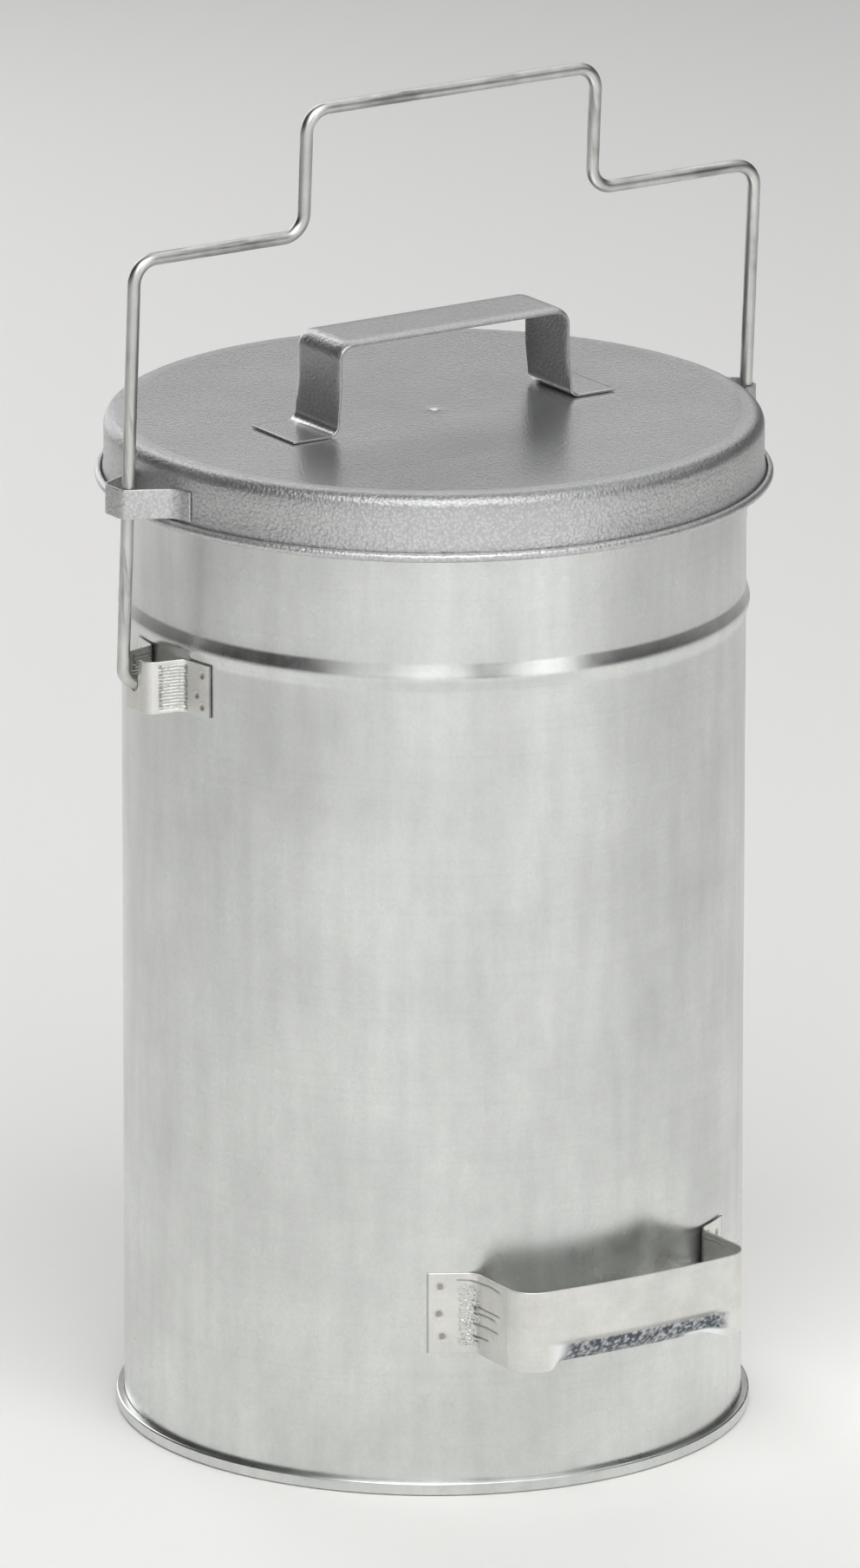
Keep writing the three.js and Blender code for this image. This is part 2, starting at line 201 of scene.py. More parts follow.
# %% Node helpers
def add(nodes, kind, links=None, **settings):
    """A new node. links gives its inputs: another node's output, or a plain value."""
    node = nodes.new(kind)
    for key, value in settings.items():
        setattr(node, key, value)
    for socket, value in (links or {}).items():
        if isinstance(value, bpy.types.NodeSocket):
            node.id_data.links.new(value, node.inputs[socket])
        else:
            node.inputs[socket].default_value = value
    return node


def new_material(name):
    material = bpy.data.materials.new(name)
    material.use_nodes = True
    nodes = material.node_tree.nodes
    nodes.clear()
    return material, nodes


def cloud(nodes, place, scale, detail=3.0, stretch=(1, 1, 1)):
    """Noise from 0 to 1 with features about 1/scale metres wide, squeezed along each axis."""
    mapped = add(nodes, "ShaderNodeMapping", {"Vector": place, "Scale": stretch})
    return add(nodes, "ShaderNodeTexNoise", {
        "Vector": mapped.outputs[0], "Scale": scale, "Detail": detail,
    }).outputs["Fac"]


def between(nodes, factor, low, high, start=0.35, end=0.65):
    """A number that goes from low to high as the factor goes from start to end."""
    return add(nodes, "ShaderNodeMapRange", {
        "Value": factor, "From Min": start, "From Max": end, "To Min": low, "To Max": high,
    }).outputs[0]


def calc(nodes, operation, a, b):
    return add(nodes, "ShaderNodeMath", {0: a, 1: b}, operation=operation).outputs[0]


def product(nodes, first, *others):
    for other in others:
        first = calc(nodes, "MULTIPLY", first, other)
    return first


print("node helpers ready")

# %% Colour helpers
def scaled(nodes, vector, factor):
    """A place, or a colour made lighter or darker, times a factor."""
    return add(nodes, "ShaderNodeVectorMath", {
        0: vector, "Scale": factor,
    }, operation="SCALE").outputs[0]


def blend(nodes, factor, colour, other):
    """One colour that passes into the other as the factor goes from 0 to 1."""
    return add(nodes, "ShaderNodeMix", {
        0: factor, 6: colour, 7: other,
    }, data_type="RGBA").outputs[2]


def marked(nodes, mark):
    """The values that a piece carries at its points under this name."""
    return add(nodes, "ShaderNodeAttribute", attribute_name=mark).outputs["Fac"]


print("colour helpers ready")

# %% Galvanized sheet
def zinc(name, colour, rough, grain, run=0.02, scratches=0.02, clouds=16.0, streak=(6, 6, 700)):
    """grain, run and scratches say how strong the bumps, the drained runs and the scratches are,
    clouds how fine the patches are, and streak how the scratches are stretched."""
    material, nodes = new_material(name)
    place = add(nodes, "ShaderNodeTexCoord").outputs["Object"]
    patches = cloud(nodes, place, clouds, 4.0)
    mottle = cloud(nodes, place, 130.0, 2.0)
    rolled = cloud(nodes, place, 1.0, 3.0, stretch=streak)
    drained = cloud(nodes, place, 1.0, 3.0, stretch=(120, 120, 14))
    fine = cloud(nodes, place, 700.0, 1.0)
    tone = product(
        nodes, between(nodes, patches, 0.95, 1.05), between(nodes, mottle, 0.98, 1.02),
        between(nodes, drained, 1.0 - run, 1.0 + run),
        between(nodes, rolled, 1.0 - scratches, 1.0, 0.36, 0.46), between(nodes, fine, 0.98, 1.02),
    )
    uneven = between(nodes, patches, rough + 0.04, rough - 0.04)
    roughness = calc(nodes, "ADD", uneven, between(nodes, mottle, -0.02, 0.02))
    height = calc(nodes, "ADD", product(nodes, mottle, 0.6), product(nodes, rolled, 0.12))
    bump = add(nodes, "ShaderNodeBump", {"Strength": grain, "Distance": 0.0012, "Height": height})
    shader = add(nodes, "ShaderNodeBsdfPrincipled", {
        "Base Color": scaled(nodes, colour, tone), "Metallic": 1.0, "Roughness": roughness,
        "Normal": bump.outputs[0],
    })
    add(nodes, "ShaderNodeOutputMaterial", {"Surface": shader.outputs[0]})
    return material


sheet_zinc = zinc("zinc_sheet", (0.688, 0.703, 0.688), 0.30, 0.02, run=0.035)
print("made", sheet_zinc.name)

# %% [markdown]
# ## Marks of work on the straps
# The straps are cut from the same sheet, but pressing and welding left marks. Where the die rubbed
# hard, the zinc is burnished: almost a mirror, but broken up into bright and dark spangles, whose
# colours also hold a painted dark reflection and, at places, a painted highlight. Where the sheet
# was welded or bent sharply it is a little brown. Painted shade darkens its hollows, its creases
# and the cut ends of the tabs. The pieces carry these marks as values at their points, and the
# finish reads them, so that they sit exactly where the metal was worked.

# %% Worked strap
# Spangle colours of the burnished zinc: the dark one is mostly a painted dark reflection of the
# shaded floor under the handle, and the bright one also makes the painted highlights.
DARK_SPANGLE_AND_REFLECTION, BRIGHT_SPANGLE_AND_HIGHLIGHT = (0.09, 0.105, 0.125, 1), (0.92, 0.94, 0.95, 1)
HEAT_BROWN = (0.50, 0.44, 0.36, 1)


def worked_strap(name):
    material = zinc(name, (0.77, 0.77, 0.745), 0.33, 0.09, clouds=60.0, streak=(40, 40, 500))
    nodes = material.node_tree.nodes
    shader = next(node for node in nodes if node.type == "BSDF_PRINCIPLED")
    colour, rough, relief = [
        shader.inputs[socket].links[0].from_socket for socket in ("Base Color", "Roughness", "Normal")
    ]
    place = add(nodes, "ShaderNodeTexCoord").outputs["Object"]
    burnished = marked(nodes, "burnished")
    broken = cloud(nodes, place, 520.0, 6.0)
    spangles_and_highlight = between(nodes, broken, 0.0, 0.55, 0.44, 0.64)
    # Painted highlight: places marked with it take the bright spangle colour.
    spangles_and_highlight = calc(nodes, "MAXIMUM", spangles_and_highlight, marked(nodes, "painted_highlight"))
    # Painted shade: the marked hollows, creases and cut ends of the tabs are darkened.
    shaded_colour = scaled(nodes, colour, between(nodes, marked(nodes, "painted_shade"), 1.0, 0.36, 0.0, 1.0))
    brown = blend(nodes, product(nodes, marked(nodes, "browned"), 0.55), shaded_colour, HEAT_BROWN)
    # Painted reflection: burnished places take the dark and bright spangle colours.
    marks_and_painted_light = blend(nodes, burnished, brown, blend(nodes, spangles_and_highlight, DARK_SPANGLE_AND_REFLECTION, BRIGHT_SPANGLE_AND_HIGHLIGHT))
    smooth = add(nodes, "ShaderNodeMix", {0: burnished, 2: rough, 3: 0.16})
    bump = add(nodes, "ShaderNodeBump", {
        "Strength": 0.35, "Distance": 0.0008, "Height": product(nodes, broken, burnished),
        "Normal": relief,
    })
    finish = {"Base Color": marks_and_painted_light, "Roughness": smooth.outputs[0], "Normal": bump.outputs[0]}
    for socket, value in finish.items():
        material.node_tree.links.new(value, shader.inputs[socket])
    return material


strap_zinc = worked_strap("zinc_strap")
print("made", strap_zinc.name)

# %% [markdown]
# ## Hammered paint
# The lid, its handle and its keepers are sprayed with hammer paint. The paint draws itself into
# small round-edged islands about a millimetre wide, with shallow valleys between them, over an
# aluminium-filled grey. Distances to scattered points give the islands. On the flat top of the lid
# the paint had time to settle before it set, so there it is smoother and glossier. At the shoulder
# and on the handle's grip the colour is darker; the piece says where, with values at its points.

# %% Hammer paint
SETTLED_ROUGHNESS = 0.25


def hammer_paint(name, colour, rough, relief):
    material, nodes = new_material(name)
    place = add(nodes, "ShaderNodeTexCoord").outputs["Object"]
    waver = cloud(nodes, place, 900.0, 2.0)
    shifted = add(nodes, "ShaderNodeVectorMath", {
        0: place, 1: scaled(nodes, waver, 0.0009),
    }, operation="ADD").outputs[0]
    islands = add(nodes, "ShaderNodeTexVoronoi", {
        "Vector": shifted, "Scale": 820.0, "Smoothness": 0.6, "Randomness": 1.0,
    }, feature="SMOOTH_F1").outputs["Distance"]
    patches = cloud(nodes, place, 30.0)
    settled = marked(nodes, "settled")
    depth = between(nodes, settled, 1.0, 0.30, 0.0, 1.0)
    dip = product(nodes, between(nodes, islands, 0.0, 0.24, 0.1, 0.6), depth)
    tone = product(
        nodes, calc(nodes, "SUBTRACT", 1.06, dip), between(nodes, patches, 0.97, 1.03),
        between(nodes, marked(nodes, "darkened"), 1.0, 0.66, 0.0, 1.0),
    )
    swell = product(nodes, calc(nodes, "POWER", islands, 2.0), -1.0)
    height = product(nodes, calc(nodes, "ADD", swell, product(nodes, waver, 0.25)), depth)
    bump = add(nodes, "ShaderNodeBump", {"Strength": relief, "Distance": 0.0004, "Height": height})
    shader = add(nodes, "ShaderNodeBsdfPrincipled", {
        "Base Color": scaled(nodes, colour, tone), "Metallic": 0.9,
        "Roughness": between(nodes, settled, rough, SETTLED_ROUGHNESS, 0.0, 1.0),
        "Normal": bump.outputs[0],
    })
    add(nodes, "ShaderNodeOutputMaterial", {"Surface": shader.outputs[0]})
    return material


grey_hammer = hammer_paint("grey_hammer_paint", (0.64, 0.645, 0.645), 0.44, 0.5)
print("made", grey_hammer.name)

# %% [markdown]
# ## Spinning round parts
# The wall, the bottom and the lid are round, so each is the outline of its sheet, seen on edge,
# spun about the pail's axis. A Screw modifier would do the same; turning the outline in code lets
# the sheet waver a little, as thin metal does after rolling, which softens its reflections.

# %% Sheet outline and spinning
BLUNT = 0.3    # how far a sheet's edge stands out in the middle, in thicknesses


def on_edge(route, thickness):
    """The closed outline of a sheet, from its middle line, with softened edges."""
    points = np.array(route, float)
    normals = side_normals(points) * thickness / 2
    ahead, behind = points[-1] - points[-2], points[0] - points[1]
    nose = points[-1] + ahead / np.linalg.norm(ahead) * thickness * BLUNT
    tail = points[0] + behind / np.linalg.norm(behind) * thickness * BLUNT
    return np.vstack([points + normals, nose, (points - normals)[::-1], tail])


def spin(outline, sides=240, waver=None):
    """Points and faces of an outline of (radius, height) turned once round the axis. waver gives
    how far the sheet stands out from its radius at an angle and at each height."""
    radius, height = outline.T
    points = []
    for k in range(sides):
        angle = 2 * math.pi * k / sides
        out = radius + waver(angle, height) if waver else radius
        points.append(np.column_stack([out * math.cos(angle), out * math.sin(angle), height]))
    next_radius, next_height = np.roll(outline, -1, axis=0).T
    area = (radius * next_height - next_radius * height).sum()
    faces = band_faces(sides, len(outline), closed=True)
    return np.vstack(points), faces if area < 0 else [face[::-1] for face in faces]


print("a spun washer has", len(spin(on_edge([(5, 0), (9, 0)], 1.0), 12)[1]), "faces")

# %% [markdown]
# ## The wall
# The wall is hooked outward at its foot for the bottom seam, has a ring pressed outward below the
# lid, and is rolled outward round a wire at the rim. The ring's upper slope is steep and bright,
# its lower slope is longer and ends in a faint crease.

# %% Wall outline
RIM_ROLL = 2.5
RIM_TOP = 396.2
RIM = (WALL - SHEET + RIM_ROLL, RIM_TOP - RIM_ROLL)
SEAM = 3.2     # how far the folded seam stands out from the wall
BEAD = [(318.2, 0), (318.7, 0.02), (319.6, 0.16), (322.6, 1.36), (323.6, 1.5), (324.6, 1.47),
        (325.3, 1.28), (328.9, 0.16), (329.6, 0.03), (330.2, 0)]


def wall_route():
    middle = WALL - SHEET / 2
    hook = WALL + SEAM - SHEET * 1.5 - GAP
    low = SHEET * 1.5 + GAP
    foot = rounded([(hook, 4.0), (hook, low, 0.5), (middle, low, 0.5), (middle, 6)], 3)
    bead = [(middle + bulge, height) for height, bulge in BEAD]
    return foot + bead + arc(*RIM, RIM_ROLL - SHEET / 2, 180, -115, 20)


def wall_waver(angle, height):
    """Slow, shallow waves of the rolled sheet below and above the bead, and none at its ends."""
    hold = plateau(height, 8, 40, 290, 312) + 0.6 * plateau(height, 332, 342, 368, 385)
    x, y = 2.4 * math.cos(angle), 2.4 * math.sin(angle)
    return 0.11 * hold * np.array([noise.noise(Vector((x, y, z / 60))) for z in height])


wall_line = paced(wall_route(), 4.0)
print("wall line has", len(wall_line), "points")

# %% Wall
wall_points, wall_faces = spin(on_edge(wall_line, SHEET), waver=wall_waver)
make_piece("wall", wall_points, wall_faces, sheet_zinc, "body_shell", "pail")

# %% [markdown]
# ## The bottom
# The bottom is a shallow dish whose edge turns down inside the wall, out along the ground and up
# round the wall's hook: a folded seam, squeezed tight on a seaming machine. It shows as the thick
# ring that the pail stands on.

# %% Bottom
def bottom_route():
    inside, outside = WALL - SHEET * 1.5 - GAP, WALL + SEAM - SHEET / 2
    floor, ground, seam_top = 5.5, SHEET / 2, 4.65
    return rounded([(0.02, floor), (inside, floor, 1.2), (inside, ground, 0.6),
                    (outside, ground, 0.8), (outside, seam_top, 0.5), (WALL + GAP, seam_top)], 5)


bottom_points, bottom_faces = spin(on_edge(paced(bottom_route(), 8.0), SHEET))
make_piece("bottom", bottom_points, bottom_faces, sheet_zinc, "bottom_pan", "pail")

# %% [markdown]
# ## The lid
# The lid is a pressed cap: a flat top, a rounded shoulder and a skirt whose edge is rolled outward
# into a small tube. A centre punch left a dimple in the middle of the top, where the press found
# its place.

# %% Lid cap
LID_TOP = 397.2
SKIRT = 126.7
SHOULDER = 4.65    # bend between the top and the skirt, in the middle of the sheet
CURL, CURL_RADIUS = (128.45, 373.75), 1.4


def lid_route():
    skirt, top = SKIRT - SHEET / 2, LID_TOP - SHEET / 2
    punch = [(0.02, top - 0.5), (0.6, top - 0.45), (1.3, top - 0.2), (2.0, top - 0.04), (2.8, top)]
    skirt_line = rounded([(60, top), (skirt, top, SHOULDER), (skirt, 379)], 12)[1:]
    return punch + skirt_line + arc(*CURL, CURL_RADIUS, 165, 460, 16)


def lid_waver(angle, height):
    x, y = 2 * math.cos(angle), 2 * math.sin(angle)
    waves = [noise.noise(Vector((x, y, z / 40))) for z in height]
    return 0.05 * np.array(waves) * (height < LID_TOP - 3)


lid_points, lid_faces = spin(on_edge(paced(lid_route(), 5.0), SHEET), waver=lid_waver)
from_axis, height = np.hypot(lid_points[:, 0], lid_points[:, 1]), lid_points[:, 2]
shoulder = np.exp(-((from_axis - SKIRT + 2) / 2.2) ** 2)
shoulder = shoulder * smoothstep(height, LID_TOP - 6, LID_TOP - 4)
flat_top = (1 - smoothstep(from_axis, SKIRT - 9, SKIRT - 4)) * (height > LID_TOP - 1.5)
make_piece("lid_cap", lid_points, lid_faces, grey_hammer, "lid_shell", "lid",
           marks={"settled": flat_top, "darkened": shoulder})

# %% [markdown]
# ## Straps
# The ears, the keepers and both handles are strips of sheet bent on edge. A strap follows a flat
# route and has a lower and an upper edge. Its section is built with rounded corners all the way
# round, so that every edge catches a thin line of light, as a sheared edge does. A Solidify and a
# Bevel modifier could do it, but they would blur the dimples that are pressed into the strip.

# %% Strap builder
EDGE = 0.22    # rounding of a sheared edge


def strap_section(low, high, thickness, count, inset=0.0):
    """Points (height, offset) round one cross section of the strip. inset shrinks it at an end."""
    turn = np.radians(np.linspace(0, 90, 4))
    side = thickness / 2 - EDGE
    top = [(high - EDGE + EDGE * math.sin(a), side + EDGE * math.cos(a)) for a in turn]
    bottom = [(low + EDGE - EDGE * math.sin(a), side + EDGE * math.cos(a)) for a in turn]
    face = [(h, thickness / 2) for h in np.linspace(low + EDGE, high - EDGE, count + 1)[1:-1]]
    outer = bottom[::-1] + face + top
    section = np.array(outer + [(h, -offset) for h, offset in outer[::-1]])
    limit = thickness / 2 - inset
    section[:, 1] = np.clip(section[:, 1], -limit, limit)
    section[:, 0] = np.clip(section[:, 0], low + inset, high - inset)
    return section


def strap(route, low, high, count, thickness=SHEET, press=None):
    """Points and faces of a strap, and for each point its distance from the nearer end and how
    far it was pressed. high may follow the route, count is the number of steps across the face,
    and press(from_middle, from_end, height) pushes outward."""
    points = np.array(route, float)
    normals = side_normals(points)
    distance = np.concatenate([[0], np.cumsum(np.linalg.norm(np.diff(points, axis=0), axis=1))])
    highs = [high(p) if callable(high) else high for p in points]
    blunt = [(EDGE * math.sin(a), EDGE * (1 - math.cos(a))) for a in np.radians([30, 60, 90])]
    stations = [(0, -shift, inset) for shift, inset in blunt[::-1]]
    stations += [(i, 0.0, 0.0) for i in range(len(points))]
    stations += [(len(points) - 1, shift, inset) for shift, inset in blunt]
    rings, from_end, pressed = [], [], []
    for i, shift, inset in stations:
        middle, end = distance[i] - distance[-1] / 2, min(distance[i], distance[-1] - distance[i])
        section = strap_section(low, highs[i], thickness, count, inset)
        along = np.array([normals[i][1], -normals[i][0]])
        mark = press(middle, end, section[:, 0]) if press else np.zeros(len(section))
        flat = points[i] + along * shift + normals[i] * (section[:, 1] + mark)[:, None]
        rings.append(np.column_stack([flat, section[:, 0]]))
        from_end += [end] * len(section)
        pressed += list(mark)
    width = len(rings[0])
    faces = band_faces(len(rings), width)
    last = (len(rings) - 1) * width
    half = width // 2
    for k in range(half - 1):
        pair = (k, k + 1, width - 2 - k, width - 1 - k)
        faces += [pair[::-1], tuple(last + v for v in pair)]
    return np.vstack(rings), faces, np.array(from_end), np.array(pressed)


print("one strap section has", len(strap_section(0, 20, SHEET, 30)), "points")

# %% [markdown]
# ## Straps that are welded to a round wall
# Each of these straps lies on the wall with a tab at both ends, turns out at a root bend and stands
# off the wall. The route is drawn from above with the wall's middle at the origin and the strap
# toward +Y, then turned to its side of the pail. The tabs carry spot welds: shallow round dimples
# where the electrodes squeezed both sheets. The marks of the work follow from the same places.

# %% Route on a wall
def wall_strap(radius, tab_end, root, root_bend, shape):
    """The route from the left tab to the right one. tab_end and root are angles on the wall, and
    shape lists the front corners of the right half."""
    foot = Vector((radius * math.sin(root), radius * math.cos(root)))
    turn = (foot - Vector(shape[-1][:2])).angle(Vector((math.cos(root), -math.sin(root))))
    gap = 1.15 * root_bend * math.tan(turn / 2) / radius
    onto = [(radius * math.sin(a), radius * math.cos(a)) for a in np.linspace(tab_end, root + gap, 6)]
    right = [*shape, (radius * math.sin(root), radius * math.cos(root), root_bend), *onto[::-1]]
    left = [(-corner[0], *corner[1:]) for corner in right[::-1]]
    return rounded(left + right)


def turned(points, degrees):
    """The points turned about the pail's axis."""
    turn = np.array(Matrix.Rotation(math.radians(degrees), 3, "Z"))
    return np.asarray(points) @ turn.T


def dimple(distance, height, at, level, radius=1.5, depth=0.28):
    """How far a spot weld sinks the strip at a place."""
    reach = np.hypot(distance - at, height - level) / radius
    ring = 0.25 * np.exp(-((reach - 1.25) / 0.22) ** 2)
    return depth * (ring - (1 - smoothstep(reach, 0.2, 1.0)))


print("a dimple's middle sinks", round(float(-dimple(0, 0, 0, 0)), 2), "mm")

# %% Marks of the welds
def welds(from_end, height, top, places, radius, depth=0.28):
    """Dimples of the welds. Each place is a depth under the top edge and a distance from the
    tab's end."""
    return sum(dimple(from_end, height, at, top - under, radius, depth) for under, at in places)


def brown_spots(from_end, height, top, places, radius):
    """1 in the middle of each weld, fading to 0 round it."""
    reach = [np.hypot(from_end - at, height - top + under) for under, at in places]
    return np.exp(-(np.minimum.reduce(reach) / radius) ** 2)


def shade_in_hollows_and_gaps(pressed, from_end):
    """Painted shade in pressed hollows, and a painted shadow along the cut end of a tab, where it
    stands off the wall.
    """
    hollow, cut_end = smoothstep(-pressed, 0.05, 0.17), 1 - smoothstep(from_end, 0.15, 0.4)
    return np.maximum(0.9 * hollow, 0.8 * cut_end)


print("brown in the middle of a weld:", float(brown_spots(0, 5, 5, [(0, 0)], 1)))

# %% [markdown]
# ## Ears for the bail
# An ear is a folded strip with a hole for the bail's hook. The hole is open to the top edge through
# a tapered notch, so that the wire can be sprung in. The tool that bent the flanks left rows of
# fine ribs in them.

# %% Ears
EAR_TOP = 319.2
EAR_LOW = EAR_TOP - 20.7
EAR_FACE = 136.0
EAR_CORNER = 8.9              # half the width of the front face
EAR_ROOT, EAR_END = 11.4, 25.6    # from the middle to the root bend and to the tab's end
PIVOT = EAR_TOP - 10.1
HOLE, MOUTH = 2.8, 3.8        # half widths of the hole and of the notch at the top edge
EAR_WELDS = [(4.4, 3.9), (12.8, 6.9), (16.8, 3.9)]
WALL_STRAP = WALL + GAP + SHEET / 2


def ear_edge(point):
    """Height of the ear's top edge: it drops into the notch in the middle of the face."""
    x = abs(point[0])
    if point[1] < EAR_FACE - 3 or x >= MOUTH:
        return EAR_TOP
    if x <= HOLE:
        return PIVOT - math.sqrt(HOLE ** 2 - x ** 2)
    return PIVOT + (x - HOLE) / (MOUTH - HOLE) * (EAR_TOP - PIVOT)


print("the ear's hook hole is", 2 * HOLE, "mm wide")

# %% What the press left on an ear
def ear_press(from_middle, from_end, height):
    """Welds on the tabs and, on the flanks, fine ribs between two pitted lines."""
    side = abs(from_middle)
    mark = welds(from_end, height, EAR_TOP, EAR_WELDS, 1.5)
    if 11.5 < side < 25:
        hold = plateau(side, 11.7, 12.6, 23.8, 24.8)
        hold = hold * plateau(height, EAR_LOW + 0.8, EAR_LOW + 2, EAR_TOP - 2.2, EAR_TOP - 1)
        rough = np.array([noise.noise(Vector((from_middle * 0.9, h * 2.4, 1))) for h in height])
        wander = 1.5 * noise.noise(Vector((side * 0.5, 0, 3)))
        ribs = np.sin(height * 5.0 + wander) * (0.6 + 1.4 * rough)
        rim = np.exp(-((side - 13.0) / 0.7) ** 2) + np.exp(-((side - 23.4) / 0.7) ** 2)
        mark = mark + hold * (0.09 * ribs - 0.08 + 0.06 * rough - 0.12 * rim * (rough < 0.1))
    return mark


def make_ear(name, node, turn):
    root, end = math.asin(EAR_ROOT / WALL_STRAP), math.asin(EAR_END / WALL_STRAP)
    route = wall_strap(WALL_STRAP, end, root, 3.8, [(EAR_CORNER, EAR_FACE - SHEET / 2, 5)])
    points, faces, from_end, pressed = strap(
        paced(route, 0.4), EAR_LOW, ear_edge, 84, press=ear_press)
    brown = brown_spots(from_end, points[:, 2], EAR_TOP, EAR_WELDS, 1.6)
    brown = brown + 0.35 * (np.abs(points[:, 0]) < 9)
    return make_piece(name, turned(points, turn), faces, strap_zinc,
                      node, "pail",
                      marks={"browned": brown, "painted_shade": shade_in_hollows_and_gaps(pressed, from_end)})


make_ear("left_ear", "bail_ear_left", 90)
make_ear("right_ear", "bail_ear_right", -90)

# %% [markdown]
# ## The tilting handle
# Low on the front there is a wide strap handle for tipping the pail out. The lower edge of its
# front span is rolled inward so that it doesn't cut the fingers. The roll starts and stops short
# of the corners, and the die left it burnished and bright; its colour holds a painted dark
# reflection, two painted highlights and painted shade along the crease where the roll starts.
# The press also crinkled the strap at its root bends and scored fine lines along the flanks.

# %% Tilting handle
POUR_TOP = 88.7
POUR_LOW = POUR_TOP - 31.9
POUR_FACE = WALL + 26.3 - SHEET / 2
POUR_HALF = 105.3 / 2
POUR_CORNER_AT = POUR_HALF - SHEET / 2
POUR_CORNER = 11.0
SPAN_END = POUR_HALF - POUR_CORNER
SPAN_BOW = 1.8      # how far the front span falls back at its ends
POUR_DRAFT = 0.7    # how far each flank leans in toward the wall
POUR_TAB = 18.2
POUR_WELDS = [(5.3, 4.8), (16.2, 4.3), (25.2, 5.6)]
SCORES = [(2.9, 62, 90), (13.0, 62, 84), (15.4, 65, 83), (19.8, 63, 84), (24.6, 70, 84)]
LIP_HEIGHT = 10.2   # how much of the strap's lower edge is rolled in


def pour_press(from_middle, from_end, height):
    """Welds, the crinkled band and the scored lines. Each score is a depth under the top edge and
    the stretch that it covers, measured from the middle of the strap."""
    side, below = abs(from_middle), POUR_TOP - height
    mark = welds(from_end, height, POUR_TOP, POUR_WELDS, 1.9, 0.32)
    if 60 < side < 92:
        rough = np.array([noise.noise(Vector((from_middle * 1.3, h * 3.0, 4))) for h in height])
        band = plateau(side, 77, 80, 87, 90) * plateau(below, 3, 5, 28, 31)
        mark = mark + 0.13 * band * (2 * rough - 0.5)
        for level, start, end in SCORES:
            along = plateau(side, start, start + 4, end - 2, end)
            wander = 0.5 * noise.noise(Vector((side * 0.12, level, 2)))
            mark = mark - 0.18 * along * np.exp(-((below - level - wander) / 0.4) ** 2)
    return mark


print("the tilting handle has", len(SCORES), "scored lines on each flank")

# %% Rolled lip
LIP_RADIUS, LIP_CREASE = 15.0, 0.22    # of the roll, and the sudden lean where it starts
LIP_RUNOUT = 10.0                      # stretch over which the roll fades out


def roll_lip(points):
    """Rolls the lower edge of the front span inward, with a crease where the roll starts."""
    rolled = points.copy()
    path = np.linspace(0, LIP_HEIGHT, 200)
    lean = path / LIP_RADIUS + LIP_CREASE * smoothstep(path, 0, 0.7)
    step = path[1] - path[0]
    inward, down = np.cumsum(np.sin(lean)) * step, np.cumsum(np.cos(lean)) * step
    below = np.clip(POUR_LOW + LIP_HEIGHT - points[:, 2], 0, None)
    fade = smoothstep(SPAN_END - np.abs(points[:, 0]), 0, LIP_RUNOUT)
    rolled[:, 1] -= fade * np.interp(below, path, inward) * (below > 0)
    rolled[:, 2] += fade * (below - np.interp(below, path, down)) * (below > 0)
    return rolled


def pour_marks(points, from_end, pressed):
    """The lip is burnished, with a painted dark reflection, and has painted highlights at two places,
    bright without spangles. Painted shade lies along the crease. The corners are brown.
    """
    x, height = points[:, 0], points[:, 2]
    into_lip = POUR_LOW + LIP_HEIGHT - height
    # Painted highlights: two places on the lip, bright and without spangles.
    highlight_spots = np.maximum(smoothstep(x, 29, 37), smoothstep(into_lip, 6, 8) * smoothstep(-x, 18, 26))
    at_corner = np.exp(-((np.abs(x) - 47) / 3.5) ** 2 - ((POUR_TOP - height - 7) / 4.5) ** 2)
    brown = 0.8 * brown_spots(from_end, height, POUR_TOP, POUR_WELDS, 1.7) + 0.4 * at_corner
    # Painted shade along the crease where the roll starts.
    crease = np.exp(-((into_lip + 0.5) / 0.9) ** 2) * smoothstep(SPAN_END - 2 - np.abs(x), 0, 8)
    crease = crease * (0.45 + 0.3 * smoothstep(-x, 0, 30))
    return {
        "burnished": smoothstep(SPAN_END + 1 - np.abs(x), 0, 6) * smoothstep(into_lip, -0.5, 0.9),
        "browned": brown,
        "painted_highlight": highlight_spots,
        "painted_shade": np.maximum(shade_in_hollows_and_gaps(pressed, from_end), crease),
    }


def make_pour_handle():
    root = math.asin((POUR_CORNER_AT - POUR_DRAFT) / WALL_STRAP)
    across = np.linspace(0.1, SPAN_END - 0.1, 14)
    span = [(x, POUR_FACE - SPAN_BOW * (x / SPAN_END) ** 2) for x in across]
    fall = SPAN_BOW * (2 * POUR_CORNER_AT / SPAN_END - 1)
    corner = (POUR_CORNER_AT, POUR_FACE - fall, POUR_CORNER)
    route = wall_strap(WALL_STRAP, root + POUR_TAB / WALL_STRAP, root, 6, [*span, corner])
    points, faces, from_end, pressed = strap(
        paced(route, 0.8), POUR_LOW, POUR_TOP, 110, press=pour_press)
    return make_piece("tilting_handle", turned(roll_lip(points), 180), faces, strap_zinc,
                      "pour_handle", "pail",
                      marks=pour_marks(points, from_end, pressed))


make_pour_handle()

# %% [markdown]
# ## Keepers
# A keeper is a loop of painted strap on the lid's skirt that runs round one leg of the bail. It
# lets the lid slide up the wire and keeps it from being lost.

# %% Keepers
WIRE = 2.5               # radius of the bail's wire
BAIL_AT = 141.0          # from the axis to the middle of a bail leg
KEEPER_LOW, KEEPER_HIGH = 376.4, 388.0
KEEPER_AIR = 1.1         # between the wire and the tip of the loop
KEEPER_CORNER = 6.2      # half the width of the tip
KEEPER_ROOT, KEEPER_END = 15.5, 23.3    # from the middle to the root bend and to the tab's end


def make_keeper(name, node, turn):
    radius = SKIRT + GAP + STRAP / 2
    root, end = math.asin(KEEPER_ROOT / radius), math.asin(KEEPER_END / radius)
    tip = BAIL_AT + WIRE + KEEPER_AIR + STRAP / 2
    route = wall_strap(radius, end, root, 8, [(KEEPER_CORNER, tip, 4)])
    points, faces, *_ = strap(paced(route, 0.7), KEEPER_LOW, KEEPER_HIGH, 14, STRAP)
    return make_piece(name, turned(points, turn), faces, grey_hammer, node, "lid")


